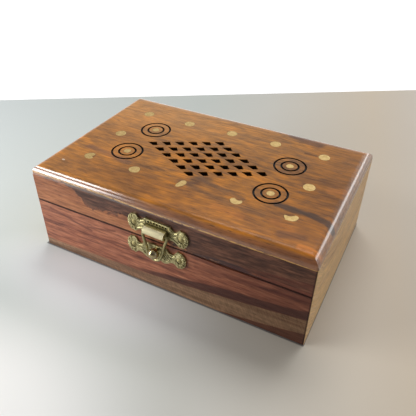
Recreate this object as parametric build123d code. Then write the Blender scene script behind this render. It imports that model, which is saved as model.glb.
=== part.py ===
from build123d import *
import os
from math import cos, sin, tan, radians, hypot

# Hinged wooden keepsake box. Millimetres. +X runs along the front, the front faces -Y, +Z is up.
# The origin is on the underside, at the middle of the footprint.

# ---- case ----
LENGTH = 152.0
DEPTH = 100.4
WALL = 7.0
BASE_H = 30.95
GAP = 0.4
LID_FRAME_TOP = 46.5
TOTAL_H = 51.7
BOTTOM_T = 4.0
CORNER_R = 0.5
FRONT_R = 4.2
LEFT_R = 4.6
RIGHT_R = 5.0
BACK_RUN = 9.0
BACK_DROP = 5.1
SEAM_DIP = 0.8
SEAM_DIP_X = 37.0
SEAM_DIP_CHORD = 36.0

# ---- hinges ----
HINGE_X = 45.0
HINGE_W = 20.0
HINGE_Y = DEPTH / 2 - 1.2
HINGE_Z = BASE_H + GAP / 2
KNUCKLE_R = 1.5
PIN_R = 0.6
PIN_FIT = 0.02
LID_BORE_R = 0.65
LEAF_T = 0.7
LEAF_D = 5.3
MID_KNUCKLE = 10.0
END_KNUCKLE = 4.8
RELIEF_R = 1.7
STOP_ANGLE = 53.5
SCREW_HEAD_R = 1.3
SCREW_R = 0.7
SCREW_L = 5.0
SCREW_DX = 6.5
SCREW_Y = HINGE_Y - 3.5

# ---- top ornament ----
DOT_R = 3.0
DOT_T = 1.2
RING_DOT_R = 1.95
GROOVE_W = 0.95
GROOVE_D = 0.9
RING_OUTER_R = 8.6
RING_INNER_R = 4.9
HOLE_PLAN = [(-4.3, 0.0), (0.15, -1.95), (2.45, -0.6), (0.0, 2.3)]
HOLE_PITCH_X = 6.453
HOLE_PITCH_Y = 3.489
HOLES = 6
LATTICE_C = (-0.45, -0.94)
LATTICE_TURN = -0.37

# ---- latch ----
FRONT = -DEPTH / 2
PLATE_T = 0.9
UPPER_C = (-0.12, 38.8)
UPPER_TILT = 2.5
LOWER_C = (-1.54, 24.9)
LOWER_TILT = 0.8
BARREL_Y = FRONT - 2.65
BARREL_R = 2.2
BARREL_BORE = 0.85
BARREL_X = (-5.9, 5.4)
WIRE_R = 0.75
KNOB_C = (-0.85, 27.0)
KNOB_R = 2.75
KNOB_Y = FRONT - 4.2
POST_R = 1.1
NAIL_HEAD_R = 1.6
NAIL_DOME = 0.6
NAIL_R = 0.45
NAIL_L = 5.5
NAIL_X = 12.9
NAIL_Z = 0.1
SEAT_GAP = 0.25
SEAT_SHIFT = 0.2
LOBE_A = 3.6
LOBE_B = 5.0
LOBE_STEP = 14
SCALLOP = 0.04
FIT = 0.02


def box(x0, x1, y0, y1, z0, z1):
    """Solid box between two corners."""
    centre = Pos((x0 + x1) / 2, (y0 + y1) / 2, (z0 + z1) / 2)
    return centre * Box(x1 - x0, y1 - y0, z1 - z0)


def cyl_x(x0, x1, y, z, r):
    """Cylinder lying along X."""
    return Pos((x0 + x1) / 2, y, z) * Rot(0, 90, 0) * Cylinder(r, x1 - x0)


def cyl_y(x, y0, y1, z, r):
    """Cylinder lying along Y."""
    return Pos(x, (y0 + y1) / 2, z) * Rot(90, 0, 0) * Cylinder(r, abs(y1 - y0))


def cyl_z(x, y, z0, z1, r):
    """Upright cylinder."""
    return Pos(x, y, (z0 + z1) / 2) * Cylinder(r, z1 - z0)


def prism_x(points_yz, length):
    """Prism along X from a polygon in the YZ plane."""
    face = Plane.YZ * Polygon(*points_yz, align=None)
    return extrude(face, amount=length / 2, both=True)


# ---- the four mitred boards of a frame ----
def frame_boards(z0, z1):
    hx, hy = LENGTH / 2, DEPTH / 2
    ix, iy = hx - WALL, hy - WALL
    plans = {
        "front": [(-hx, -hy), (hx, -hy), (ix, -iy), (-ix, -iy)],
        "right": [(hx, -hy), (hx, hy), (ix, iy), (ix, -iy)],
        "back": [(hx, hy), (-hx, hy), (-ix, iy), (ix, iy)],
        "left": [(-hx, hy), (-hx, -hy), (-ix, -iy), (-ix, iy)],
    }
    outline = extrude(Pos(0, 0, z0) * RectangleRounded(LENGTH, DEPTH, CORNER_R), amount=z1 - z0)
    boards = {}
    for side, plan in plans.items():
        sector = extrude(Pos(0, 0, z0) * Polygon(*plan, align=None), amount=z1 - z0)
        boards[side] = outline & sector
    return boards


def stop_wedge(sign):
    """Bevel behind the hinge line; it lets the lid lean back and then stops it."""
    far = DEPTH / 2 + 3
    drop = tan(radians(STOP_ANGLE)) * (far - HINGE_Y)
    points = [(HINGE_Y, HINGE_Z), (far, HINGE_Z - sign * drop),
              (far, HINGE_Z + sign * 1.0), (HINGE_Y, HINGE_Z + sign * 1.0)]
    return prism_x(points, LENGTH + 10)


base = frame_boards(0, BASE_H)
lid = frame_boards(BASE_H + GAP, LID_FRAME_TOP)
for side in ("back", "left", "right"):
    base[side] = base[side] - stop_wedge(1)
    lid[side] = lid[side] - stop_wedge(-1)

# The front board's top edge is worn slightly hollow beside the latch.
dip_r = ((SEAM_DIP_CHORD / 2) ** 2 + SEAM_DIP ** 2) / (2 * SEAM_DIP)
dip = cyl_y(SEAM_DIP_X, -DEPTH / 2 - 1, -DEPTH / 2 + WALL + 1, BASE_H - SEAM_DIP + dip_r, dip_r)
base["front"] = base["front"] - dip

bottom = box(-LENGTH / 2 + WALL, LENGTH / 2 - WALL, -DEPTH / 2 + WALL, DEPTH / 2 - WALL, 0, BOTTOM_T)


# ---- hinges ----
def hinge(x):
    """Base leaf, lid leaf, pin, the cut-outs in each board, and both pairs of screws."""
    x0, x1 = x - HINGE_W / 2, x + HINGE_W / 2
    m0, m1 = x - MID_KNUCKLE / 2, x + MID_KNUCKLE / 2
    y_in = HINGE_Y - LEAF_D
    y_notch = HINGE_Y - RELIEF_R
    base_leaf = box(x0, x1, y_in, y_notch, BASE_H - LEAF_T, BASE_H)
    lid_leaf = box(x0, x1, y_in, y_notch, BASE_H + GAP, BASE_H + GAP + LEAF_T)
    for a, b in ((x0, x0 + END_KNUCKLE), (x1 - END_KNUCKLE, x1)):
        base_leaf += box(a, b, y_notch - 0.1, HINGE_Y, BASE_H - LEAF_T, BASE_H)
        base_leaf += cyl_x(a, b, HINGE_Y, HINGE_Z, KNUCKLE_R)
    lid_leaf += box(m0, m1, y_notch - 0.1, HINGE_Y, BASE_H + GAP, BASE_H + GAP + LEAF_T)
    lid_leaf += cyl_x(m0, m1, HINGE_Y, HINGE_Z, KNUCKLE_R)
    base_leaf -= cyl_x(x0 - 1, x1 + 1, HINGE_Y, HINGE_Z, PIN_R + PIN_FIT)
    lid_leaf -= cyl_x(x0 - 1, x1 + 1, HINGE_Y, HINGE_Z, LID_BORE_R)
    pin = cyl_x(x0, x1, HINGE_Y, HINGE_Z, PIN_R)
    relief = cyl_x(x0 - 0.2, x1 + 0.2, HINGE_Y, HINGE_Z, RELIEF_R)
    base_cut = relief + box(x0, x1, y_in, HINGE_Y, BASE_H - LEAF_T, BASE_H + 1)
    lid_cut = relief + box(x0, x1, y_in, HINGE_Y, BASE_H, BASE_H + GAP + LEAF_T)
    base_screws, lid_screws = [], []
    for dx in (-SCREW_DX, SCREW_DX):
        cone = Cone(SCREW_R, SCREW_HEAD_R, LEAF_T)
        slot = Box(2 * SCREW_HEAD_R + 1, 0.35, 0.5)
        head = Pos(0, 0, -LEAF_T / 2) * cone - Pos(0, 0, -0.1) * Rot(0, 0, 35) * slot
        screw = head + cyl_z(0, 0, -SCREW_L, -LEAF_T, SCREW_R)
        base_screws.append(Pos(x + dx, SCREW_Y, BASE_H) * screw)
        lid_screws.append(Pos(x + dx, SCREW_Y, BASE_H + GAP) * Rot(180, 0, 0) * screw)
        hole = Pos(0, 0, -LEAF_T / 2) * Cone(SCREW_R + FIT, SCREW_HEAD_R + FIT, LEAF_T)
        hole += cyl_z(0, 0, -SCREW_L - FIT, -LEAF_T, SCREW_R + FIT)
        base_hole = Pos(x + dx, SCREW_Y, BASE_H) * hole
        lid_hole = Pos(x + dx, SCREW_Y, BASE_H + GAP) * Rot(180, 0, 0) * hole
        base_leaf -= base_hole
        lid_leaf -= lid_hole
        base_cut += base_hole
        lid_cut += lid_hole
    return base_leaf, lid_leaf, pin, base_cut, lid_cut, base_screws, lid_screws


nodes = {}
base_screws, lid_screws = [], []
for name, x in (("left", -HINGE_X), ("right", HINGE_X)):
    base_leaf, lid_leaf, pin, base_cut, lid_cut, low, high = hinge(x)
    nodes["hinge_%s_base_leaf" % name] = base_leaf
    nodes["hinge_%s_lid_leaf" % name] = lid_leaf
    nodes["hinge_%s_pin" % name] = pin
    base["back"] -= base_cut
    lid["back"] -= lid_cut
    base_screws += low
    lid_screws += high
nodes["hinge_base_screws"] = Compound(children=base_screws)
nodes["hinge_lid_screws"] = Compound(children=lid_screws)


# ---- lid top panel: rounded over on all four sides, pierced and inlaid ----
panel_t = TOTAL_H - LID_FRAME_TOP


def front_to_back_section():
    """Front-to-back section of the panel; its back edge falls away more gently than its front."""
    y0, y1 = -DEPTH / 2, DEPTH / 2
    z0, z1 = LID_FRAME_TOP, TOTAL_H
    edges = [
        Line((y0, z0), (y0, z1 - FRONT_R)),
        CenterArc((y0 + FRONT_R, z1 - FRONT_R), FRONT_R, 90, 90),
        Line((y0 + FRONT_R, z1), (y1 - BACK_RUN, z1)),
        EllipticalCenterArc((y1 - BACK_RUN, z1 - BACK_DROP), BACK_RUN, BACK_DROP, 0, arc_size=90),
        Line((y1, z1 - BACK_DROP), (y1, z0)),
        Line((y1, z0), (y0, z0)),
    ]
    return Plane.YZ * make_face(edges)


def end_to_end_section():
    """Left-to-right section of the panel, rounded over at both ends."""
    x0, x1 = -LENGTH / 2, LENGTH / 2
    z0, z1 = LID_FRAME_TOP - 1, TOTAL_H
    edges = [
        Line((x0, z0), (x0, z1 - LEFT_R)),
        CenterArc((x0 + LEFT_R, z1 - LEFT_R), LEFT_R, 90, 90),
        Line((x0 + LEFT_R, z1), (x1 - RIGHT_R, z1)),
        CenterArc((x1 - RIGHT_R, z1 - RIGHT_R), RIGHT_R, 0, 90),
        Line((x1, z1 - RIGHT_R), (x1, z0)),
        Line((x1, z0), (x0, z0)),
    ]
    return Plane.XZ * make_face(edges)


lengthwise = extrude(front_to_back_section(), amount=LENGTH / 2 + 1, both=True)
crosswise = extrude(end_to_end_section(), amount=DEPTH / 2 + 1, both=True)
plan = RectangleRounded(LENGTH, DEPTH, CORNER_R + 0.5)
panel = lengthwise & crosswise & extrude(Pos(0, 0, LID_FRAME_TOP) * plan, amount=panel_t + 1)

hole = extrude(Pos(0, 0, LID_FRAME_TOP - 1) * Polygon(*HOLE_PLAN, align=None), amount=panel_t + 2)
holes = []
for i in range(HOLES):
    for j in range(HOLES):
        x = HOLE_PITCH_X * (i + j - (HOLES - 1))
        y = HOLE_PITCH_Y * (i - j)
        holes.append(Pos(*LATTICE_C) * Rot(0, 0, LATTICE_TURN) * Pos(x, y) * hole)
panel = panel - holes

ring_centres = {"back_left": (-40.6, 13.1), "front_left": (-41.2, -14.4),
                "back_right": (41.0, 12.4), "front_right": (41.1, -15.0)}


def disc(face, x, y):
    """Flush inlay cut from sheet brass."""
    return extrude(Pos(x, y, TOTAL_H - DOT_T) * face, amount=DOT_T)


for name, (x, y) in ring_centres.items():
    for r in (RING_OUTER_R, RING_INNER_R):
        ring = Cylinder(r, 2 * GROOVE_D) - Cylinder(r - GROOVE_W, 2 * GROOVE_D)
        panel = panel - Pos(x, y, TOTAL_H) * ring
    nodes["ring_dot_" + name] = disc(Circle(RING_DOT_R), x, y)
    panel = panel - nodes["ring_dot_" + name]

def outline(*points):
    """Rounded hand-cut shape through points."""
    return make_face(Spline(*points, periodic=True))


whole = Circle(DOT_R)
notched = outline((-1.8, -1.9), (-2.7, 0), (-1.9, 2.1), (0.2, 3.1), (1.8, 2.7), (1.9, 1.2), (1.6, 0.1),
                  (2.7, -0.5), (2.7, -1.7), (1.1, -2.7))
oval = outline((-2.3, -1.6), (-2.7, 1.1), (-1.2, 2.4), (0.9, 2.8), (2.6, 1.1), (2.7, -1.7), (0.2, -2.8))
teardrop = outline((-1.3, -3.1), (-1.6, -1.9), (-1.2, 0.6), (-0.4, 2.5), (0.9, 2.9), (2.2, 1.7), (2.3, -0.4),
                   (1.2, -2.3), (-0.4, -3.4))
bitten = outline((-2.6, -0.7), (-2.6, 1.0), (-1.5, 1.8), (0.0, 0.9), (1.4, 0.9), (2.4, 1.5), (3.1, 0.5),
                 (2.6, -1.3), (1.1, -2.4), (-1.0, -2.3))
crescent = outline((-2.7, -0.9), (-3.0, 0.9), (-2.0, 0.8), (0.0, 1.2), (1.8, 2.6), (2.9, 2.0), (3.0, -0.3),
                   (1.2, -2.1), (-1.1, -2.3))
dots = {
    "back_1": (whole, -55.0, 28.4), "back_2": (whole, -27.2, 28.9), "back_3": (whole, -0.1, 30.0),
    "back_4": (whole, 26.2, 30.5), "back_5": (whole, 54.1, 29.3),
    "front_1": (notched, -55.8, -28.0), "front_2": (oval, -27.4, -28.0), "front_3": (teardrop, -0.5, -27.7),
    "front_4": (bitten, 29.1, -28.3), "front_5": (crescent, 55.9, -28.4),
    "left": (whole, -55.8, 0.1), "right": (whole, 55.7, -1.5),
}
for name, (face, x, y) in dots.items():
    nodes["inlay_" + name] = disc(face, x, y)
    panel = panel - nodes["inlay_" + name]


# ---- latch ----
def on_front(cx, cz, tilt):
    """Frame on the front face: local X across, local Y out of the face, local Z up, leaning clockwise."""
    return Pos(cx, FRONT, cz) * Rot(0, tilt, 0)


def bead(a, b, r):
    """Round-ended rib between two local points."""
    a, b = Vector(*a), Vector(*b)
    rod = Plane(origin=(a + b) / 2, z_dir=b - a) * Cylinder(r, (b - a).length)
    return rod + Pos(*a) * Sphere(r) + Pos(*b) * Sphere(r)


def bead_line(points, r, h):
    """Chain of ribs through local (x, z) points, with its centre h above the board."""
    rib = None
    for (xa, za), (xb, zb) in zip(points[:-1], points[1:]):
        piece = bead((xa, -h, za), (xb, -h, zb), r)
        rib = piece if rib is None else rib + piece
    return rib


def rim(angle):
    """Distance from the nail to the edge of the shell lobe."""
    c, s = cos(radians(angle)), sin(radians(angle))
    return LOBE_A * LOBE_B / hypot(LOBE_B * c, LOBE_A * s)


def lobe_points():
    """Scalloped edge of the right-hand lobe, from its top round to its bottom."""
    points = []
    for k, angle in enumerate(range(8 * LOBE_STEP, -8 * LOBE_STEP - 1, -LOBE_STEP)):
        reach = rim(angle) * (1 - SCALLOP * (-1) ** k)
        points.append((NAIL_X + reach * cos(radians(angle)), NAIL_Z + reach * sin(radians(angle))))
    return points


def plate(neck_top, neck_bottom):
    """Struck brass plate, the same left and right of its centre."""
    half = neck_top + lobe_points() + neck_bottom
    right = [Vector(x, 0, z) for x, z in half]
    left = [Vector(-x, 0, z) for x, z in reversed(half)]
    edges = [Spline(*right), Spline(*left)]
    edges.append(Line(left[-1], right[0]))
    edges.append(Line(right[-1], left[0]))
    return extrude(make_face(edges), amount=PLATE_T, dir=(0, -1, 0))


def wing(side):
    """Domed shell lobe with rays round the nail, for one end of a plate."""
    x = side * NAIL_X
    shape = Pos(side * 13.4, -PLATE_T + 0.15, NAIL_Z) * scale(Sphere(1), by=(2.6, 0.6, 4.2))
    for k in range(-3, 4):
        angle = 2 * LOBE_STEP * k - LOBE_STEP
        c, s = side * cos(radians(angle)), sin(radians(angle))
        near, far = 2.4, rim(angle) - 0.65
        start = (x + near * c, -PLATE_T - 0.2, NAIL_Z + near * s)
        end = (x + far * c, -PLATE_T - 0.1, NAIL_Z + far * s)
        shape = shape + bead(start, end, 0.38)
    return shape


NAIL_POINTS = [(-NAIL_X, NAIL_Z), (NAIL_X, NAIL_Z)]


def nails(place):
    """Round-headed nails; each head sits on the plate and its shank goes into the board."""
    out = []
    for x, z in NAIL_POINTS:
        cap_z = (NAIL_HEAD_R ** 2 - NAIL_DOME ** 2) / (2 * NAIL_DOME)
        ball = Pos(x, -PLATE_T + cap_z, z) * Sphere(cap_z + NAIL_DOME)
        head = ball & cyl_y(x, -PLATE_T - NAIL_DOME - 1, -PLATE_T, z, NAIL_HEAD_R)
        out.append(place * (head + cyl_y(x, -PLATE_T - 0.1, NAIL_L, z, NAIL_R)))
    return out


def nail_holes(place):
    """Pilot hole for each shank and a sunk round seat, a little off centre, for each head."""
    cuts = []
    for x, z in NAIL_POINTS:
        cuts.append(place * cyl_y(x, -PLATE_T - 0.1, NAIL_L, z, NAIL_R + FIT))
        cuts.append(place * cyl_y(x + SEAT_SHIFT, -PLATE_T - 3, -PLATE_T, z, NAIL_HEAD_R + SEAT_GAP))
    return cuts


# Upper plate, with its lower edge rolled into the barrel that carries the bail.
upper_place = on_front(*UPPER_C, UPPER_TILT)
upper = plate([(6.9, 5.0), (8.1, 3.7), (9.9, 3.2)], [(9.7, -3.0), (8.0, -2.4), (6.9, -2.6)])
for side in (-1, 1):
    upper = upper + wing(side)
    upper = upper + bead_line([(side * 7.2, 3.3), (side * 9.2, 2.3), (side * 11.0, 2.9)], 0.4, PLATE_T)
    upper = upper + bead_line([(side * 7.2, 1.1), (side * 9.2, 0.4), (side * 10.8, 0.7)], 0.4, PLATE_T)
    upper = upper + bead_line([(side * 7.2, -1.2), (side * 9.0, -1.6), (side * 10.9, -2.6)], 0.38, PLATE_T)
upper = upper + bead((-6.7, -PLATE_T, 4.7), (6.7, -PLATE_T, 4.7), 0.36)
for x in (-6.6, 6.6):
    upper = upper + bead((x, -PLATE_T, 4.6), (x, -PLATE_T, 2.2), 0.33)
for i in range(7):
    upper = upper - Pos(-4.8 + 1.6 * i, -PLATE_T, 3.55) * Sphere(0.6)
upper = upper + cyl_x(*BARREL_X, BARREL_Y - FRONT, 0, BARREL_R)
upper = upper + box(*BARREL_X, BARREL_Y - FRONT, -0.3, 0.2, BARREL_R)
upper = upper - cyl_x(-12, 12, BARREL_Y - FRONT, 0, BARREL_BORE)
upper = upper_place * upper
nodes["latch_upper_plate"] = upper - nail_holes(upper_place)
nodes["latch_upper_nails"] = Compound(children=nails(upper_place))
lid["front"] = lid["front"] - nail_holes(upper_place)

# Lower plate, with leaf ornament either side of the knob.
lower_place = on_front(*LOWER_C, LOWER_TILT)
lower_bottom = [(9.3, -3.1), (7.4, -4.0), (5.4, -5.1), (2.6, -4.5)]
lower = plate([(6.0, 4.4), (7.9, 2.3), (9.5, 2.2)], lower_bottom)
for side in (-1, 1):
    lower = lower + wing(side)
    lower = lower + bead_line([(side * 7.6, 1.4), (side * 9.3, 1.1), (side * 10.9, 1.8)], 0.38, PLATE_T)
    lower = lower + bead_line([(side * 7.8, -0.9), (side * 9.3, -0.9), (side * 10.8, -0.8)], 0.38, PLATE_T)
    for k in range(4):
        a = (side * (7.2 - 0.85 * k), -PLATE_T, -0.5 - 0.8 * k)
        b = (side * (5.9 - 0.85 * k), -PLATE_T, 1.5 - 1.0 * k)
        lower = lower + bead(a, b, 0.34)
    lower = lower + bead_line([(side * 7.9, -0.3), (side * 6.9, -2.6), (side * 4.8, -4.3)], 0.36, PLATE_T)
lower = lower + bead((-5.6, -PLATE_T, 4.0), (5.6, -PLATE_T, 4.0), 0.36)
lower = lower_place * lower
post_hole = cyl_y(KNOB_C[0], FRONT - 3, FRONT, KNOB_C[1], POST_R + FIT)
nodes["latch_lower_plate"] = lower - post_hole - nail_holes(lower_place)
nodes["latch_lower_nails"] = Compound(children=nails(lower_place))
base["front"] = base["front"] - nail_holes(lower_place)

knob = cyl_y(KNOB_C[0], KNOB_Y, FRONT, KNOB_C[1], POST_R)
nodes["latch_knob"] = knob + Pos(KNOB_C[0], KNOB_Y, KNOB_C[1]) * Sphere(KNOB_R)

# Bail: one bent wire whose ends turn into the barrel.
end_x = 1.6
bend_r = 0.9
bend = bend_r * (1 - cos(radians(45)))
left_x, right_x = -6.8, 6.35
left_low, right_low = (-4.7, 0, -13.9), (3.2, 0, -13.9)
left_leg = Spline((left_x, 0, -bend_r), (-6.85, 0, -3.4), (-6.25, 0, -6.6), (-5.35, 0, -9.7), left_low,
                  tangents=((0, 0, -1), (0, 0, -1)))
right_leg = Spline(right_low, (3.6, 0, -12.2), (4.8, 0, -7.0), (6.0, 0, -2.8), (right_x, 0, -bend_r),
                   tangents=((0, 0, 1), (0, 0, 1)))
path = [
    Line((-end_x, 0, 0), (left_x + bend_r, 0, 0)),
    ThreePointArc((left_x + bend_r, 0, 0), (left_x + bend, 0, -bend), (left_x, 0, -bend_r)),
    left_leg,
    ThreePointArc(left_low, (-0.75, 0, -17.3), right_low),
    right_leg,
    ThreePointArc((right_x, 0, -bend_r), (right_x - bend, 0, -bend), (right_x - bend_r, 0, 0)),
    Line((right_x - bend_r, 0, 0), (end_x, 0, 0)),
]
wire = Wire(path)
section = Plane(origin=(-end_x, 0, 0), z_dir=(-1, 0, 0)) * Circle(WIRE_R)
bail = sweep(section, path=wire)
nodes["latch_bail"] = Pos(UPPER_C[0], BARREL_Y, UPPER_C[1]) * Rot(0, UPPER_TILT, 0) * bail

for side, board in base.items():
    nodes["base_%s_board" % side] = board
for side, board in lid.items():
    nodes["lid_%s_board" % side] = board
nodes["base_bottom_panel"] = bottom
nodes["lid_top_panel"] = panel

os.makedirs("parts", exist_ok=True)
for name, solid in nodes.items():
    export_step(solid, "parts/%s.step" % name)
    print(name, len(solid.solids()), round(solid.volume, 2))
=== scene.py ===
from math import cos, radians, sin

import bpy
from mathutils import Matrix, Vector


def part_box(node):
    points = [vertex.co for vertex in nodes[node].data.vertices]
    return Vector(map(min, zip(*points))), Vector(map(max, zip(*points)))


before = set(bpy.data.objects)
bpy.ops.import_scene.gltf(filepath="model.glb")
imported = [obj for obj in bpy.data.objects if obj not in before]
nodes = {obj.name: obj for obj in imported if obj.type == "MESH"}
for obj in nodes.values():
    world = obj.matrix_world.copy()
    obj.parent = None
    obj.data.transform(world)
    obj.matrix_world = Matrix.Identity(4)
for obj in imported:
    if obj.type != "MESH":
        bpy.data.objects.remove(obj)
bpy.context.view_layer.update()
MM = 0.001

# ---------------------------------------------------------------- key places, in millimetres
panel_low, panel_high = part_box("lid_top_panel")
HALF_L = panel_high.x / MM
HALF_W = panel_high.y / MM
TOP_Z = panel_high.z / MM
PANEL_Z = panel_low.z / MM
BASE_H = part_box("base_left_board")[1].z / MM
LID_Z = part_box("lid_left_board")[0].z / MM
FRONT_Y = -HALF_W
RING_DOTS = [name for name in nodes if name.startswith("ring_dot_")]
INLAYS = [name for name in nodes if name.startswith("inlay_")] + RING_DOTS


def middle_and_half(node):
    """The middle of a node's box and half its size."""
    low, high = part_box(node)
    return (low + high) / 2 / MM, (high - low) / 2 / MM


# ---------------------------------------------------------------- shader helper
class Num:
    """A number inside a material, with ordinary arithmetic."""

    def __init__(self, shader, socket):
        self.shader = shader
        self.socket = socket

    def __add__(self, other):
        return self.shader.math("ADD", self, other)

    def __sub__(self, other):
        return self.shader.math("SUBTRACT", self, other)

    def __rsub__(self, other):
        return self.shader.math("SUBTRACT", other, self)

    def __mul__(self, other):
        return self.shader.math("MULTIPLY", self, other)

    def __abs__(self):
        return self.shader.math("ABSOLUTE", self)

    def over(self, other):
        return self.shader.math("MAXIMUM", self, other)

    def under(self, other):
        return self.shader.math("MINIMUM", self, other)

    def clip(self):
        return self.over(0.0).under(1.0)

    def root(self):
        return self.shader.math("SQRT", self)

    __radd__ = __add__
    __rmul__ = __mul__


class Shader:
    """Builds one material; positions inside it are object positions in millimetres."""

    def __init__(self, name):
        self.mat = bpy.data.materials.new(name)
        self.mat.use_nodes = True
        self.tree = self.mat.node_tree
        self.tree.nodes.clear()
        out = self.add("ShaderNodeOutputMaterial")
        self.bsdf = self.add("ShaderNodeBsdfPrincipled")
        self.tree.links.new(self.bsdf.outputs[0], out.inputs[0])
        coord = self.add("ShaderNodeTexCoord")
        place = self.add("ShaderNodeVectorMath")
        place.operation = "SCALE"
        self.tree.links.new(coord.outputs["Object"], place.inputs[0])
        place.inputs["Scale"].default_value = 1 / MM
        split = self.add("ShaderNodeSeparateXYZ")
        self.tree.links.new(place.outputs[0], split.inputs[0])
        self.x, self.y, self.z = (Num(self, socket) for socket in split.outputs)

    def add(self, kind):
        return self.tree.nodes.new(kind)

    def put(self, socket, value):
        if isinstance(value, Num):
            value = value.socket
        if isinstance(value, bpy.types.NodeSocket):
            self.tree.links.new(value, socket)
        elif value is not None:
            socket.default_value = value

    def math(self, op, a, b=None):
        n = self.add("ShaderNodeMath")
        n.operation = op
        self.put(n.inputs[0], a)
        self.put(n.inputs[1], b)
        return Num(self, n.outputs[0])

    def noise(self, x, y, z, detail=3.0, rough=0.5, swirl=0.0):
        at = self.add("ShaderNodeCombineXYZ")
        for socket, value in zip(at.inputs, (x, y, z)):
            self.put(socket, value)
        n = self.add("ShaderNodeTexNoise")
        self.put(n.inputs["Vector"], at.outputs[0])
        n.inputs["Scale"].default_value = 1.0
        n.inputs["Detail"].default_value = detail
        n.inputs["Roughness"].default_value = rough
        n.inputs["Distortion"].default_value = swirl
        return Num(self, n.outputs[0])

    def span(self, value, low, high, to_low=0.0, to_high=1.0, smooth=True):
        n = self.add("ShaderNodeMapRange")
        n.interpolation_type = "SMOOTHSTEP" if smooth else "LINEAR"
        for socket, v in zip(n.inputs, (value, low, high, to_low, to_high)):
            self.put(socket, v)
        return Num(self, n.outputs[0])

    def ramp(self, value, stops):
        n = self.add("ShaderNodeValToRGB")
        while len(n.color_ramp.elements) < len(stops):
            n.color_ramp.elements.new(0.5)
        for element, (at, colour) in zip(n.color_ramp.elements, stops):
            element.position = at
            element.color = rgb(colour)
        self.put(n.inputs[0], value)
        return n.outputs[0]

    def mix(self, share, a, b):
        n = self.add("ShaderNodeMix")
        n.data_type = "RGBA"
        self.put(n.inputs[0], share)
        self.put(n.inputs[6], rgb(a) if isinstance(a, tuple) else a)
        self.put(n.inputs[7], rgb(b) if isinstance(b, tuple) else b)
        return n.outputs[2]

    def shade(self, colour, by):
        n = self.add("ShaderNodeVectorMath")
        n.operation = "SCALE"
        self.put(n.inputs[0], colour)
        self.put(n.inputs["Scale"], by)
        return n.outputs[0]

    def line(self, value, half, soft):
        """1 where value is within half of nought, fading out over soft."""
        return self.span(abs(value), half, half + soft, 1.0, 0.0)

    def graph(self, value, points):
        """A line graph: the height above value, through points of (value, height)."""
        height = points[0][1]
        for (a, low), (b, high) in zip(points, points[1:]):
            height = self.span(value, a, b, 0.0, high - low, smooth=False) + height
        return height

    def away(self, u, v, points):
        """The distance in the u, v plane from a line through points."""
        least = None
        for (u0, v0), (u1, v1) in zip(points, points[1:]):
            du, dv = u1 - u0, v1 - v0
            size = du * du + dv * dv
            pu, pv = u - u0, v - v0
            t = (pu * (du / size) + pv * (dv / size)).clip()
            gap_u, gap_v = pu - t * du, pv - t * dv
            gap = gap_u * gap_u + gap_v * gap_v
            least = gap if least is None else least.under(gap)
        return least.root()

    def spot(self, u, v, at, across, soft=0.5):
        """1 in an ellipse of half sizes across about at."""
        pu, pv = (u - at[0]) * (1 / across[0]), (v - at[1]) * (1 / across[1])
        return self.span((pu * pu + pv * pv).root(), 1.0 - soft, 1.0 + soft, 1.0, 0.0)

    def crease(self, distance):
        """0 in the open and 1 deep in a corner, looking distance millimetres around."""
        n = self.add("ShaderNodeAmbientOcclusion")
        n.samples = 8
        n.only_local = True
        n.inputs["Distance"].default_value = distance * MM
        return 1.0 - Num(self, n.outputs["AO"])

    def bump(self, height, strength, distance):
        n = self.add("ShaderNodeBump")
        n.inputs["Strength"].default_value = strength
        n.inputs["Distance"].default_value = distance
        self.put(n.inputs["Height"], height)
        self.put(self.bsdf.inputs["Normal"], n.outputs[0])


def rgb(colour):
    """An sRGB colour written 0 to 255, as linear RGBA."""
    out = []
    for c in colour:
        c = c / 255
        out.append(c / 12.92 if c <= 0.04045 else ((c + 0.055) / 1.055) ** 2.4)
    return (*out, 1.0)


# ---------------------------------------------------------------- wood
# Each noise of the grain: cycles per millimetre along and across it, and octaves of detail.
GRAIN_NOISES = {
    "mottle": (0.040, 0.075, 4.0),
    "blotch": (0.10, 0.24, 5.0),
    "band": (0.006, 0.10, 3.0),
    "streak": (0.014, 0.42, 4.0),
    "fleck": (0.12, 0.80, 4.0),
    "fibre": (0.05, 2.4, 3.0),
    "pore": (0.16, 2.6, 1.0),
}
SEED_STEP = 7.3
VARNISH_SPECULAR = 0.16
VARNISH_COAT = 0.15
COAT_ROUGHNESS = 0.18
COAT_IOR = 1.8
GRAIN_RELIEF = 0.00012


class Grain:
    """A board's noises, with the grain along the first coordinate; each is made when first asked for."""

    def __init__(self, s, along, across, depth, seed, wobble):
        sway = s.noise(along * 0.014, across * 0.03, seed, 2.0)
        self.s = s
        self.along = along
        self.across = across + (sway - 0.5) * (2 * wobble)
        self.depth = depth
        self.seed = seed
        self.made = {}

    def __getitem__(self, name):
        if name not in self.made:
            length, width, detail = GRAIN_NOISES[name]
            depth = self.depth * width + self.seed * SEED_STEP
            self.made[name] = self.s.noise(self.along * length, self.across * width, depth, detail, 0.55)
        return self.made[name]


def wood_colour(s, g, shares, stops, spread=0.14):
    """A board's colour: its noises in the given shares, through a ramp of colours."""
    tone = None
    for name, share in shares.items():
        part = g[name] * share
        tone = part if tone is None else tone + part
    return s.ramp(s.span(tone, 0.5 - spread, 0.5 + spread, smooth=False), stops)


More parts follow.
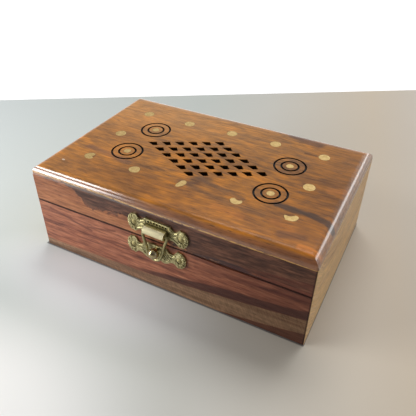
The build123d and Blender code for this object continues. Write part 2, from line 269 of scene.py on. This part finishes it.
def finish_wood(s, colour, g, rough, pore_dark=(40, 24, 16), pore_share=0.55, coat=VARNISH_COAT):
    """Adds the pores, the fine light and dark of the fibres, the varnish and the relief."""
    pores = s.span(g["pore"], 0.62, 0.74)
    colour = s.mix(pores * pore_share, colour, pore_dark)
    flecks = s.span(g["fleck"], 0.28, 0.72, 0.84, 1.14)
    fibres = s.span(g["fibre"], 0.25, 0.75, 0.88, 1.12)
    s.put(s.bsdf.inputs["Base Color"], s.shade(colour, flecks * fibres))
    s.put(s.bsdf.inputs["Roughness"], s.span(g["streak"], 0.3, 0.7, rough - 0.04, rough + 0.08))
    s.bsdf.inputs["Specular IOR Level"].default_value = VARNISH_SPECULAR
    s.put(s.bsdf.inputs["Coat Weight"], coat)
    s.bsdf.inputs["Coat Roughness"].default_value = COAT_ROUGHNESS
    s.bsdf.inputs["Coat IOR"].default_value = COAT_IOR
    s.bump(g["fibre"] * 0.35 - pores * 0.8, 0.5, GRAIN_RELIEF)
    return s.mat


def blend_strokes(s, colour, u, v, strokes):
    """Paints ragged strokes: each is (points, half width, softness, share, colour)."""
    ragged = s.noise(u * 0.12, v * 0.5, 8.8, 3.0, 0.6)
    for points, half, soft, share, paint in strokes:
        gap = s.away(u, v, points) + (ragged - 0.5) * (2.5 * half)
        colour = s.mix(s.span(gap, half, half + soft, share, 0.0), colour, paint)
    return colour


# Streaks and marks seen from above, as x, y.
TOP_STROKES = [
    ([(5.5, -19.3), (17.7, -22.7), (31, -25.5)], 0.8, 1.8, 0.55, (88, 66, 50)),
    ([(-2, -26), (15.6, -29.3), (31, -31.4), (44, -32)], 0.9, 2.0, 0.40, (92, 68, 50)),
    ([(47, -21.8), (55.9, -22.3), (63.5, -22.5), (71.4, -24.2), (75, -27.2)], 1.2, 1.4, 0.80, (62, 46, 38)),
    ([(56, -41), (65, -39)], 1.0, 2.6, 0.55, (86, 52, 36)),
    ([(31, 46), (38, 43), (47, 41)], 2.4, 3.0, 0.65, (82, 60, 56)),
    ([(44, 28.7), (50, 28.7)], 0.3, 0.9, 0.7, (70, 44, 30)),
    ([(-62, -20), (-47, -21.7), (-34, -24)], 0.8, 2.4, 0.45, (104, 74, 66)),
    ([(22, -36.6), (36, -38.4)], 0.5, 3.0, 0.3, (206, 122, 44)),
    ([(50, -34.5), (59, -36)], 0.5, 3.0, 0.3, (204, 120, 44)),
    ([(66, 0), (73, 3)], 0.8, 3.0, 0.35, (204, 124, 52)),
    ([(66, -45), (75, -46)], 1.0, 1.6, 0.6, (210, 124, 40)),
    ([(-65.6, -37.5), (-64.8, -37.5)], 0.3, 0.3, 0.8, (200, 186, 170)),
]
# Darker lines in the base's front board, as x, z.
BASE_STROKES = [
    ([(-68, 27.5), (-60.5, 26.1), (-50, 23.5), (-42, 22)], 0.35, 0.9, 0.55, (86, 44, 38)),
    ([(-44, 23.6), (-33, 26), (-26.5, 27.6)], 0.3, 0.8, 0.5, (86, 44, 38)),
    ([(20, 24), (45, 25.5), (74, 28)], 0.5, 1.4, 0.45, (92, 44, 38)),
]
# Height of the worn line under the front roundover, as x, z.
GOLD_LINE = [(-73.8, 48.5), (-38.9, 48.7), (-26, 48.35), (-9.7, 47.8), (30.7, 47.1), (76.2, 46.45)]


# Lid front: lower edge of the dark figure, upper edge of the red wood and top of the dark wedge, as x, z.
FIGURE_EDGE = [(-76, 48), (-62, 47.6), (-50, 46.2), (-45, 42), (-43, 37.5), (-38, 36.8), (-28, 38.6),
               (-20, 40.6), (-10, 38), (0, 35), (12, 31.5), (24, 31)]
RED_EDGE = [(30, 31.0), (38.5, 33.9), (64.7, 37.1), (76, 38.2)]
WEDGE_TOP = [(14, 31.0), (24, 33.6), (34, 34.6), (41.5, 34.9), (54, 31.5)]
# Base front: thickness of the dark band over the pale stripe, as x, height.
BAND_HEIGHT = [(-30, 0.6), (-10, 2.6), (21.5, 5.0), (37, 6.2), (52, 5.4), (66, 5.0), (76, 6.0)]
# End boards: rise of the curved grain lines, as y, height.
ARCH = [(-50, 16), (-39.3, 6.5), (-17.6, -3), (12.8, -7.5), (46, -8)]


def top_colour(s):
    """Mottled orange and grey-brown: paler to the left and back, darker to the right, orange in front."""
    g = Grain(s, s.x, s.y, s.z, 1.7, 4.0)
    shares = {"mottle": 0.30, "blotch": 0.40, "band": 0.06, "streak": 0.06, "fleck": 0.18}
    stops = [(0.0, (88, 58, 36)), (0.3, (130, 86, 44)), (0.6, (162, 104, 40)), (1.0, (194, 120, 34))]
    colour = wood_colour(s, g, shares, stops, 0.13)
    colour = s.mix(s.span(s.x, 10, -60) * 0.30, colour, (182, 128, 78))
    colour = s.mix(s.span(s.x, 30, 70) * 0.50, colour, (120, 70, 22))
    colour = s.mix(s.span(s.y, -10, 40) * s.span(s.x, 60, -40, 0.12, 0.40), colour, (206, 156, 104))
    colour = s.mix(s.spot(s.x, s.y, (-31, -36), (26, 9), 0.8) * 0.45, colour, (104, 66, 40))
    colour = s.mix(s.span(s.y, -15, -42) * s.span(s.x, -40, 10) * 0.30, colour, (186, 112, 30))
    strokes = blend_strokes(s, colour, s.x, s.y, TOP_STROKES)
    colour = s.mix(s.span(s.z, PANEL_Z + 1.0, PANEL_Z + 3.0), colour, strokes)
    rim = s.span(s.x, 3.5 - HALF_L, 1.0 - HALF_L)
    colour = s.mix(rim * 0.6, colour, (196, 120, 62))
    return colour, g


def corner_line(s, colour):
    """The dark glue line down the right-hand front corner."""
    return s.mix(s.span(s.x, HALF_L - 1.1, HALF_L - 0.5) * 0.6, colour, (38, 22, 18))


def seam_painted_shade(s, colour, height):
    """Painted shade along the gap where lid and base meet, on the front face only."""
    ragged = s.noise(s.x * 0.3, 4.0, 6.0, 2.0) * 0.5
    dark = s.span(height - ragged, 0.35, 0.0) * s.span(s.y, FRONT_Y + 0.6, FRONT_Y + 0.1)
    return s.mix(dark * 0.85, colour, (40, 16, 14))


def lid_front_colour(s):
    """Reddish at the left, with a dark purple-brown figure that runs behind the latch and to the right."""
    g = Grain(s, s.x, s.z, s.y, 9.4, 1.5)
    stops = [(0.0, (106, 62, 44)), (0.4, (146, 90, 60)), (0.7, (164, 106, 70)), (1.0, (178, 118, 78))]
    colour = wood_colour(s, g, {"band": 0.35, "streak": 0.35, "fleck": 0.30}, stops)
    ragged = s.noise(s.x * 0.16, 1.0, s.z * 0.35, 4.0, 0.62)
    island = s.noise(s.x * 0.45, 5.0, s.z * 0.8, 3.0, 0.6)
    above_figure = s.z - s.graph(s.x, FIGURE_EDGE)
    dark = s.span(above_figure + (ragged - 0.5) * 11.0 + (island - 0.5) * 5.0, -0.6, 0.9)
    deep = s.ramp(g["fleck"], [(0.3, (48, 30, 28)), (0.5, (80, 52, 42)), (0.7, (108, 72, 56))])
    colour = s.mix(dark * 0.92, colour, deep)
    red = s.span(g.across - s.graph(s.x, RED_EDGE), 0.7, -0.5)
    colour = s.mix(red * s.span(g["streak"], 0.40, 0.58, 0.25, 0.85), colour, (112, 58, 46))
    wedge = s.span(s.z - s.graph(s.x, WEDGE_TOP), 0.3, -0.9) * s.span(s.x, 14, 22)
    colour = s.mix(wedge * 0.55, colour, (58, 50, 54))
    return corner_line(s, colour), g


RING_RADII = (8.125, 4.425)
GROOVE_HALF = 0.50
LATTICE_X, LATTICE_Y = -0.45, -0.94
LATTICE_HALF_X, LATTICE_HALF_Y = 38.0, 21.0


def either(first, second):
    """The larger of two, when the first may not exist yet."""
    return second if first is None else first.over(second)


def holes_and_rings(s):
    """1 in the black ring grooves and on the walls of the pierced holes, which are painted near-black."""
    black = None
    for node in RING_DOTS:
        c, _ = middle_and_half(node)
        across, up = s.x - c.x, s.y - c.y
        r = (across * across + up * up).root()
        for middle in RING_RADII:
            black = either(black, s.line(r - middle, GROOVE_HALF, 0.12))
    black = black * s.span(s.z, PANEL_Z + 2, PANEL_Z + 3)
    # The walls of the pierced lattice holes, painted near-black.
    from_middle = abs(s.x - LATTICE_X) * (1 / LATTICE_HALF_X) + abs(s.y - LATTICE_Y) * (1 / LATTICE_HALF_Y)
    inside = s.span(from_middle, 1.08, 1.02)
    inside = inside * s.span(s.z, TOP_Z - 0.15, TOP_Z - 0.45) * s.span(s.z, PANEL_Z + 0.02, PANEL_Z + 0.1)
    return black.over(inside * 0.93)


def inlay_outlines(s):
    """1 in the thin dark glue line round each inlay."""
    line = None
    for node in INLAYS:
        at, half = middle_and_half(node)
        line = either(line, s.spot(s.x, s.y, at, (half.x + 0.2, half.y + 0.2), 0.06))
    return line * s.span(s.z, TOP_Z - 1.0, TOP_Z - 0.8)


def top_wood():
    """Orange-brown rosewood with grey-brown streaks, black ring grooves and a worn, glossy edge."""
    s = Shader("top_rosewood")
    colour, g = top_colour(s)
    front = s.span(s.y, FRONT_Y + 4.5, FRONT_Y + 2.6)
    face, _ = lid_front_colour(s)
    wear_z = s.graph(s.x, GOLD_LINE) + (s.noise(s.x * 0.25, 2.0, 5.0, 2.0) - 0.5) * 0.5
    band = s.span(s.z, TOP_Z - 0.4, TOP_Z - 1.4)
    colour = s.mix(front * band * 0.55, colour, (112, 70, 58))
    colour = s.mix(front * s.span(s.z - wear_z, 0.1, -0.3), colour, face)
    patchy = s.noise(s.x * 0.35, 3.0, s.z * 0.9, 3.0, 0.6)
    wear = s.line(s.z - wear_z, 0.28, 0.25) * s.span(patchy, 0.36, 0.50) * front
    colour = s.mix(wear * 0.9, colour, (196, 146, 76))
    colour = s.mix(inlay_outlines(s) * 0.45, colour, (66, 44, 26))
    black = holes_and_rings(s)
    colour = s.mix(black, colour, (14, 10, 8))
    coat = s.span(s.z, TOP_Z - 0.35, TOP_Z - 0.75, 0.06, 1.0) * s.span(s.z, PANEL_Z + 0.02, PANEL_Z + 0.3)
    return finish_wood(s, colour, g, 0.34, coat=coat * (1.0 - black))


def lid_front_wood():
    s = Shader("lid_front_rosewood")
    colour, g = lid_front_colour(s)
    # Painted shade along the lid's lower edge, at the gap over the base.
    colour = seam_painted_shade(s, colour, s.z - LID_Z)
    return finish_wood(s, colour, g, 0.40)


def base_front_wood():
    """Reddish heartwood over a tan sapwood stripe that widens to the right."""
    s = Shader("base_front_rosewood")
    g = Grain(s, s.x, s.z, s.y, 4.1, 1.0)
    stops = [(0.0, (98, 54, 42)), (0.35, (142, 84, 62)), (0.7, (168, 106, 78)), (1.0, (184, 122, 90))]
    colour = wood_colour(s, g, {"band": 0.25, "streak": 0.45, "fleck": 0.30}, stops)
    colour = blend_strokes(s, colour, s.x, s.z, BASE_STROKES)
    colour = s.mix(s.span(s.x, -5, 75) * 0.62, colour, (72, 38, 34))
    stripe_top = s.x * s.x * 0.00056 + s.x * 0.078 + 7.3
    right = s.x.over(0.0)
    stripe_low = right * right * 0.00135 + right * 0.02 - 2.0
    above = g.across - stripe_top
    over_low = g.across - stripe_low
    dark = s.span(above, -0.5, 0.5) * s.span(above - s.graph(s.x, BAND_HEIGHT), 0.8, -0.8)
    dark = dark * s.span(s.x, -34, 4)
    colour = s.mix(dark * 0.85, colour, (66, 40, 36))
    sap = s.ramp(g["streak"], [(0.3, (106, 76, 56)), (0.5, (140, 106, 80)), (0.7, (160, 126, 96))])
    ribs = s.noise(s.x * 1.1 + g.across * 0.5, g.across * 0.25, 7.0, 2.0)
    sap = s.shade(sap, s.span(s.x, -20, 60, 1.0, 0.74) * s.span(ribs, 0.3, 0.7, 0.82, 1.14))
    stripe = s.span(above, 0.5, -0.4) * s.span(over_low, -0.3, 0.5)
    colour = s.mix(stripe, colour, sap)
    colour = s.mix(s.span(over_low, 0.4, -0.4) * 0.85, colour, (84, 54, 42))
    # Painted shade along the base's top edge at the gap under the lid, and the dark glue line at the right
    # corner.
    colour = corner_line(s, seam_painted_shade(s, colour, BASE_H - s.z))
    return finish_wood(s, colour, g, 0.40)


def side_wood():
    """Pale sapwood boards at the two ends, with fine darker curved lines."""
    s = Shader("side_rosewood")
    g = Grain(s, s.y, s.z - s.graph(s.y, ARCH), s.x, 6.6, 1.0)
    stops = [(0.0, (178, 136, 92)), (0.3, (218, 178, 128)), (0.7, (228, 190, 136)), (1.0, (220, 180, 126))]
    colour = wood_colour(s, g, {"band": 0.4, "streak": 0.6}, stops)
    return finish_wood(s, colour, g, 0.42, (110, 76, 52), 0.4, 0.08)


def back_wood():
    """Back boards: middling brown."""
    s = Shader("back_rosewood")
    g = Grain(s, s.x, s.z, s.y, 15.2, 2.0)
    stops = [(0.0, (84, 52, 38)), (0.35, (126, 78, 54)), (0.7, (152, 98, 66)), (1.0, (168, 112, 76))]
    colour = wood_colour(s, g, {"band": 0.4, "streak": 0.35, "fleck": 0.25}, stops)
    return finish_wood(s, colour, g, 0.42)


def bottom_wood():
    """Bottom board: plain pale brown."""
    s = Shader("bottom_board")
    g = Grain(s, s.x, s.y, s.z, 12.3, 3.0)
    stops = [(0.0, (112, 78, 52)), (0.35, (148, 108, 72)), (0.7, (172, 130, 88)), (1.0, (184, 142, 98))]
    colour = wood_colour(s, g, {"band": 0.5, "streak": 0.5}, stops)
    return finish_wood(s, colour, g, 0.5)


# ---------------------------------------------------------------- metal
BARREL_SHINE = (242, 230, 188)
METAL_RELIEF = 0.00006


def brass(name, bright, dull, dark, rough, crevice=None, share=0.85, polish=None):
    """Brass with a mottled face, tarnish and painted shade in corners up to crevice wide, and shine in front
    of y = polish.
    """
    s = Shader(name)
    blotch = s.noise(s.x * 0.9, s.y * 0.9, s.z * 0.9, 4.0, 0.6)
    fine = s.noise(s.x * 2.2, s.y * 6.0, s.z * 5.0, 3.0, 0.6)
    behind = 1.0 if polish is None else s.span(s.y, polish, polish + 0.4)
    colour = s.mix(s.span(blotch, 0.38, 0.62), dull, bright)
    if crevice is not None:
        # Tarnish and painted shade: darker in corners and crevices, found by the occlusion node.
        tarnish_and_shade = s.span(s.crease(crevice), 0.18, 0.52) * share
        colour = s.mix(tarnish_and_shade * behind, colour, dark)
    colour = s.mix(s.span(fine, 0.60, 0.80, 0.0, 0.35) * behind, colour, dark)
    dullness = s.span(fine, 0.3, 0.7, rough - 0.05, rough + 0.08)
    if polish is not None:
        dullness = dullness * (behind * 0.25 + 0.75)
        colour = s.mix((1.0 - behind) * 0.9, colour, BARREL_SHINE)
    s.put(s.bsdf.inputs["Base Color"], colour)
    s.bsdf.inputs["Metallic"].default_value = 1.0
    s.put(s.bsdf.inputs["Roughness"], dullness)
    s.bump(fine * behind, 0.2, METAL_RELIEF)
    return s.mat


def use(material, *names):
    for name in names:
        mesh = nodes[name].data
        mesh.materials.clear()
        mesh.materials.append(material)


use(top_wood(), "lid_top_panel")
use(base_front_wood(), "base_front_board")
use(lid_front_wood(), "lid_front_board")
use(side_wood(), "base_left_board", "base_right_board", "lid_left_board", "lid_right_board")
use(back_wood(), "base_back_board", "lid_back_board")
use(bottom_wood(), "base_bottom_panel")
inlay = brass("inlay_brass", (194, 168, 116), (178, 152, 100), (116, 92, 58), 0.6)
latch = brass("latch_brass", (204, 194, 146), (160, 150, 106), (30, 22, 14), 0.42, 1.6, 0.95, FRONT_Y - 2.1)
nail = brass("nail_brass", (176, 164, 116), (156, 144, 100), (40, 32, 20), 0.58, crevice=0.8)
bail = brass("bail_brass", (176, 168, 124), (146, 138, 98), (46, 38, 24), 0.36, crevice=2.0)
steel = brass("knob_metal", (200, 186, 150), (176, 156, 112), (60, 44, 28), 0.12, crevice=3.0)
hinge = brass("hinge_brass", (196, 168, 104), (170, 142, 86), (96, 76, 44), 0.38, crevice=1.0)
use(inlay, *INLAYS)
use(latch, "latch_upper_plate", "latch_lower_plate")
use(nail, "latch_upper_nails", "latch_lower_nails")
use(bail, "latch_bail")
use(steel, "latch_knob")
use(hinge, *[name for name in nodes if name.startswith("hinge_")])

# ---------------------------------------------------------------- stage
# The table's far edge runs through these two points; the table reaches this far along it and in front of it.
TABLE_EDGE_A = Vector((-0.2479, 0.0763, 0.0))
TABLE_EDGE_B = Vector((0.0770, 0.2812, 0.0))
TABLE_REACH = 3


def table_paint():
    """Pale satin table: cool at the left, warm at the right, with two painted pools of light and a painted
    contact shadow along the box's foot.
    """
    s = Shader("table_paint")
    side = s.x * 0.9 + s.y * 0.25
    colour = s.ramp(s.span(side, -200, 160, smooth=False),
                    [(0.0, (192, 198, 197)), (0.45, (182, 187, 182)), (0.6, (189, 187, 179)),
                     (0.83, (194, 180, 160)), (1.0, (184, 176, 166))])
    # Painted pools of light: just in front of the box's left half, and further forward at the left.
    colour = s.mix(s.spot(s.x, s.y, (-30, -64), (48, 22), 0.7) * 0.9, colour, (234, 235, 237))
    colour = s.mix(s.spot(s.x, s.y, (-25, -142), (52, 40), 0.7) * 0.9, colour, (234, 233, 230))
    # Painted contact shadow: a dark line close round the box's foot, except at its right end.
    gap = (abs(s.x) - HALF_L).over(abs(s.y) - HALF_W)
    contact_shadow = s.span(gap, 0.5, 1.3, 0.8, 0.0) * s.span(s.x, HALF_L, HALF_L + 0.5, 1.0, 0.0)
    colour = s.mix(contact_shadow, colour, (46, 44, 50))
    s.put(s.bsdf.inputs["Base Color"], colour)
    s.bsdf.inputs["Roughness"].default_value = 0.5
    return s.mat


def build_table():
    run = (TABLE_EDGE_B - TABLE_EDGE_A).normalized()
    toward = Vector((run.y, -run.x, 0.0)) * TABLE_REACH
    a = TABLE_EDGE_A - run * TABLE_REACH
    b = TABLE_EDGE_A + run * TABLE_REACH
    mesh = bpy.data.meshes.new("table")
    mesh.from_pydata([a, b, b + toward, a + toward], [], [(0, 1, 2, 3)])
    mesh.materials.append(table_paint())
    obj = bpy.data.objects.new("table", mesh)
    bpy.context.scene.collection.objects.link(obj)


build_table()


# ---------------------------------------------------------------- light
def area(name, place, target, size, power):
    """A white rectangular lamp at place, facing target."""
    data = bpy.data.lights.new(name, "AREA")
    data.shape = "RECTANGLE"
    data.size, data.size_y = size
    data.energy = power
    obj = bpy.data.objects.new(name, data)
    bpy.context.scene.collection.objects.link(obj)
    obj.location = place
    obj.rotation_euler = (Vector(target) - Vector(place)).to_track_quat("-Z", "Y").to_euler()


area("window_high", (-0.07, 0.65, 1.13), (0, 0, 0), (0.9, 0.6), 9)
area("window_low", (0.50, 1.1, 0.50), (0, 0, 0.03), (0.9, 0.4), 4)
area("window_left", (-0.25, -0.16, 0.27), (-0.25, -0.05, 0.05), (0.12, 0.10), 0.5)
area("fill_left", (-0.30, -0.30, 0.12), (-0.05, -0.05, 0.02), (0.16, 0.16), 1.0)


# Strengths of the surroundings: in front, high and low at the back, and the white backdrop.
FRONT_ROOM = 0.12
HIGH_BACK = 0.30
LOW_BACK = 0.75
BACKDROP = 1.15


def build_world():
    """White below the horizon; above it a grey room, brightest low at the back and darkest in front."""
    world = bpy.data.worlds.new("studio")
    bpy.context.scene.world = world
    world.use_nodes = True
    tree = world.node_tree
    sky = tree.nodes["Background"]
    coord = tree.nodes.new("ShaderNodeTexCoord")
    split = tree.nodes.new("ShaderNodeSeparateXYZ")
    tree.links.new(coord.outputs["Generated"], split.inputs[0])

    def fade(source, low, high, to_low, to_high):
        n = tree.nodes.new("ShaderNodeMapRange")
        n.interpolation_type = "SMOOTHSTEP"
        tree.links.new(source, n.inputs["Value"])
        for socket, value in zip(n.inputs[1:5], (low, high, to_low, to_high)):
            if isinstance(value, float):
                socket.default_value = value
            else:
                tree.links.new(value, socket)
        return n.outputs[0]

    high = fade(split.outputs["Y"], -0.75, 0.3, FRONT_ROOM, HIGH_BACK)
    low = fade(split.outputs["Y"], -0.75, 0.5, FRONT_ROOM, LOW_BACK)
    room = fade(split.outputs["Z"], 0.15, 0.55, low, high)
    strength = fade(split.outputs["Z"], -0.02, 0.02, BACKDROP, room)
    sky.inputs["Color"].default_value = (1.0, 1.0, 1.0, 1.0)
    tree.links.new(strength, sky.inputs["Strength"])


build_world()
bpy.context.scene.view_settings.view_transform = "Standard"

# ---------------------------------------------------------------- camera
CAMERA_AT = Vector((0.099314, -0.194203, 0.182251))
AZIMUTH, ELEVATION, ROLL = radians(26.998), radians(36.898), radians(0.763)
LENS = 41.588
SENSOR_WIDTH = 36
CLIP_START = 0.005


def build_camera():
    back = Vector((sin(AZIMUTH) * cos(ELEVATION), -cos(AZIMUTH) * cos(ELEVATION), sin(ELEVATION)))
    right = (-back).cross(Vector((0, 0, 1))).normalized()
    up = right.cross(-back)
    right_rolled = right * cos(ROLL) + up * sin(ROLL)
    up_rolled = up * cos(ROLL) - right * sin(ROLL)
    data = bpy.data.cameras.new("camera")
    data.lens = LENS
    data.sensor_width = SENSOR_WIDTH
    data.clip_start = CLIP_START
    obj = bpy.data.objects.new("camera", data)
    bpy.context.scene.collection.objects.link(obj)
    rotation = Matrix((right_rolled, up_rolled, back)).transposed().to_4x4()
    obj.matrix_world = Matrix.Translation(CAMERA_AT) @ rotation
    bpy.context.scene.camera = obj


build_camera()
